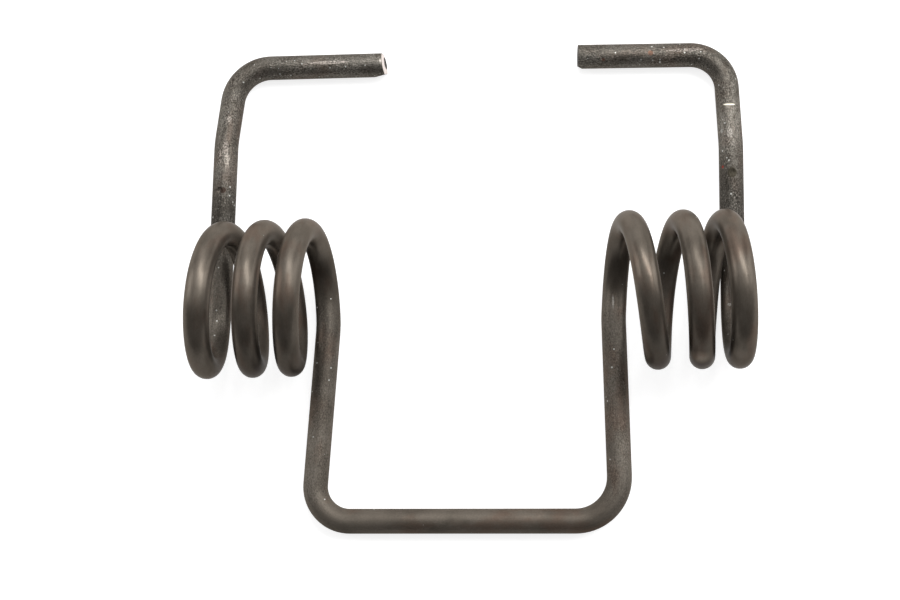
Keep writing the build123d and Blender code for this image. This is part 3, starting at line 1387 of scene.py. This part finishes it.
@dataclass(frozen=True)
class CutFinish:
    """Sheared steel: a bright burnished edge where the blade entered, and a dark torn core."""

    name: str
    core: Point
    core_radius: float
    core_softness: float = 0.35
    core_roughness: float = 0.3
    bright: Colour = (0.78, 0.68, 0.63)
    torn: Colour = (0.028, 0.022, 0.019)
    stain: Clouds = Clouds(1.6, 1.0, 0.35, 0.65)
    stain_share: float = 0.15
    grain_size: float = 0.3
    grain_height: float = 0.05
    metallic: float = 0.2
    roughness: float = 0.38
    gloss: float = 0.15

    def make(self, effects: Effects) -> Material:
        """Makes the material.

        Args:
            effects: The shared effects.

        Returns:
            The finished material.
        """
        coat = Coat(self.name, effects)
        where = coat.where()
        core = effects.spot.about(coat, where, self.core, self.core_radius, self.core_softness)
        grain = effects.grain.place(coat, Place=where, Size=self.grain_size)["Value"]
        stain = coat.times(effects.mottle.layer(coat, where, self.stain), self.stain_share)
        coat.bump(coat.times(grain, self.grain_height))
        coat.fill(
            coat.shader,
            Base_Color=coat.blend(stain, coat.blend(core, self.bright, self.torn), self.torn),
            Metallic=self.metallic,
            Specular_IOR_Level=self.gloss,
            Roughness=coat.math("ADD", self.roughness, coat.times(core, self.core_roughness)),
        )
        log.info("finish made: %s", self.name)
        return coat.material


# The studio


@dataclass(frozen=True)
class Lamp:
    """One soft box of light, in metres and watts. It is aimed at the origin."""

    name: str
    place: Point
    width: float
    depth: float
    power: float


@dataclass
class Studio:
    """Camera, floor and plain soft light."""

    eye: Point = (0.02052, -0.07095, 0.39137)
    turn: Point = (10.0913, 3.5351, -1.2722)
    focal_length: float = 67.4824
    sensor_width: float = 36.0
    nearest: float = 0.01
    farthest: float = 20.0
    floor_size: float = 3.0
    floor_cells: int = 8
    floor_colour: Colour = (0.45, 0.45, 0.45)
    floor_lift: float = 0.82
    world_strength: float = 0.08
    lamps: tuple[Lamp, ...] = (
        Lamp("overhead_box", (0.0, 0.18, 0.83), 1.2, 0.5, 1.4),
        Lamp("strip_box", (0.22, 0.37, 0.73), 0.9, 0.22, 6.2),
        Lamp("back_box", (0.0, 0.57, 0.63), 1.2, 0.4, 2.3),
        Lamp("low_back_box", (0.0, 0.81, 0.26), 1.2, 0.3, 2.0),
        Lamp("left_box", (-0.75, 0.25, 0.3), 0.4, 0.6, 2.0),
        Lamp("right_box", (0.75, 0.25, 0.3), 0.4, 0.6, 2.5),
    )

    def build(self) -> None:
        """Sets the view, the floor, the world and the lamps."""
        self._camera()
        self._floor()
        self._world()
        for lamp in self.lamps:
            self._lamp(lamp)
        bpy.context.scene.view_settings.view_transform = "Standard"
        log.info("studio set")

    def _camera(self) -> None:
        """Puts the camera where the photograph was taken from."""
        data = bpy.data.cameras.new("camera")
        data.lens = self.focal_length
        data.sensor_width = self.sensor_width
        data.sensor_fit = "HORIZONTAL"
        data.clip_start = self.nearest
        data.clip_end = self.farthest
        camera = put_in_scene("camera", data)
        turn = Euler([radians(angle) for angle in self.turn], "ZYX")
        camera.matrix_world = Matrix.Translation(self.eye) @ turn.to_matrix().to_4x4()
        bpy.context.scene.camera = camera

    def _seen(self, graph: Graph) -> Socket:
        """Tells rays that see the floor from rays that it only lights.

        Args:
            graph: The floor's graph.

        Returns:
            One for rays from the camera or from a gloss or clear surface, and zero for others.
        """
        path = graph.node("ShaderNodeLightPath").outputs
        mirrored = graph.math("MAXIMUM", path["Is Glossy Ray"], path["Is Transmission Ray"])
        return graph.math("MAXIMUM", path["Is Camera Ray"], mirrored)

    def _floor(self) -> None:
        """Lays a pale floor just under the spring."""
        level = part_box(CAD_NODE)[0].z
        cells = self.floor_cells
        bm = bmesh.new()
        bmesh.ops.create_grid(bm, x_segments=cells, y_segments=cells, size=self.floor_size / 2)
        bmesh.ops.translate(bm, verts=bm.verts, vec=(0, 0, level))
        mesh = bpy.data.meshes.new("floor")
        bm.to_mesh(mesh)
        bm.free()
        coat = Coat("pale_floor")
        coat.fill(
            coat.shader,
            Base_Color=self.floor_colour,
            Roughness=1.0,
            Specular_IOR_Level=0.0,
            Emission_Color=WHITE,
            Emission_Strength=coat.times(self._seen(coat), self.floor_lift),
        )
        mesh.materials.append(coat.material)
        floor = put_in_scene("floor", mesh)

    def _world(self) -> None:
        """Makes a plain even surrounding that the camera sees as white."""
        world = bpy.data.worlds.new("surround")
        bpy.context.scene.world = world
        world.use_nodes = True
        graph = Graph(world.node_tree)
        path = graph.node("ShaderNodeLightPath").outputs
        strength = graph.math("MAXIMUM", path["Is Camera Ray"], self.world_strength)
        graph.fill(world.node_tree.nodes["Background"], Color=WHITE, Strength=strength)

    def _lamp(self, lamp: Lamp) -> None:
        """Hangs one soft box and aims it.

        Args:
            lamp: The soft box's place, size and power.
        """
        data = bpy.data.lights.new(lamp.name, "AREA")
        data.shape = "RECTANGLE"
        data.size = lamp.width
        data.size_y = lamp.depth
        data.energy = lamp.power
        box = put_in_scene(lamp.name, data)
        box.location = lamp.place
        box.rotation_euler = (Vector() - Vector(lamp.place)).to_track_quat("-Z", "Y").to_euler()


def spring_route() -> WireRoute:
    """Gives the route of this spring's wire.

    Returns:
        The route, with the sizes that the solid has.
    """
    left = SideSizes(
        hand=Hand.LEFT,
        advances=(3.5, 4.9, 4.9, 5.1, 5.9, 3.4),
        skews=(-0.1, 0.5, -0.4),
        leg_length=48.1,
        leg_lean=4.9,
        bail_radius=8.4,
        arm_length=47.2,
        arm_lean=1.8,
        shoulder_length=19.7,
        shoulder_lean=8.0,
        hook_length=37.9,
        hook_rise=-0.2,
        hook_radius=9.8,
    )
    right = SideSizes(
        hand=Hand.RIGHT,
        advances=(4.7, 6.7, 4.9, 6.0, 3.9, 2.8),
        skews=(-0.3, 0.7, 0.0),
        leg_length=48.9,
        leg_lean=0.6,
        bail_radius=10.6,
        arm_length=43.0,
        arm_lean=-1.5,
        shoulder_length=23.6,
        shoulder_lean=1.7,
        hook_length=36.5,
        hook_rise=0.9,
        hook_radius=9.0,
    )
    return WireRoute(WireSizes(), left, right)


def main() -> None:
    """Builds the studio and the spring in order."""
    logging.basicConfig(level=logging.INFO, format="%(name)s: %(message)s")
    Studio().build()
    route = spring_route()
    effects = Effects.make()
    left_tip, right_tip = [route.corners(side)[0] / MM for side in (route.left, route.right)]
    left_core = tuple(left_tip + Vector(LEFT_CORE_SHIFT))
    finishes = [
        OxideAndPaintedLightFinish().make(effects),
        CutFinish("cut_steel_left", core=left_core, core_radius=1.7).make(effects),
        CutFinish("cut_steel_right", core=tuple(right_tip), core_radius=3.2).make(effects),
    ]
    wire = SpringWire(route).build(finishes)
    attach(wire, BODY)
    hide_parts(CAD_NODE)
    log.info("%s rides on %s and stands for %s", wire.name, BODY, CAD_NODE)


if __name__ == "__main__":
    main()
